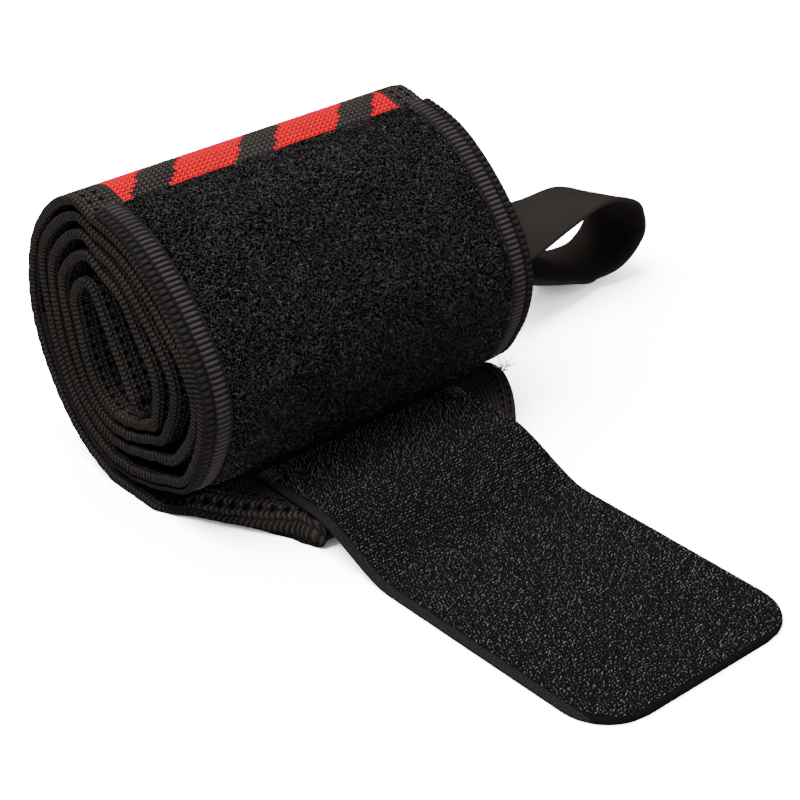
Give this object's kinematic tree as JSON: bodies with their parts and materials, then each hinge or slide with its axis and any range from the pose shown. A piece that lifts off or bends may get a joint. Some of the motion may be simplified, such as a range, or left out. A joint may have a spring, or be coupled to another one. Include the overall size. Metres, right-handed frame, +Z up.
{
  "type": "rolled-up wrist wrap",
  "caption": "Black elastic wrist wrap, loosely rolled on a table, with a loop-pile panel, a hook tab and a thumb loop.",
  "frame": {"origin": "on the table under the middle of the roll, on the underside of the band's tail", "axes": "+X along the roll's axis towards the thumb loop, -Y the way the hook tab points, +Z up from the table"},
  "size_m": [0.141, 0.1393, 0.058],
  "materials": {
    "elastic": "coarse warp-knitted elastic, matt, warm black with a woven red stripe pattern",
    "loop_pile": "brushed loop pile, matt, with grey fibre glints",
    "ribbed_edge": "fine cross ribs with a soft grey sheen",
    "hook_tape": "rows of small bright hooks on a black woven tape",
    "loop_elastic": "smooth narrow elastic, charcoal, matt"
  },
  "bodies": {
    "root": {"elastic_band": "elastic", "loop_panel": "loop_pile", "panel_edge_left": "ribbed_edge", "panel_edge_right": "ribbed_edge", "hook_tab": "hook_tape", "thumb_loop": "loop_elastic"}
  },
  "joints": []
}
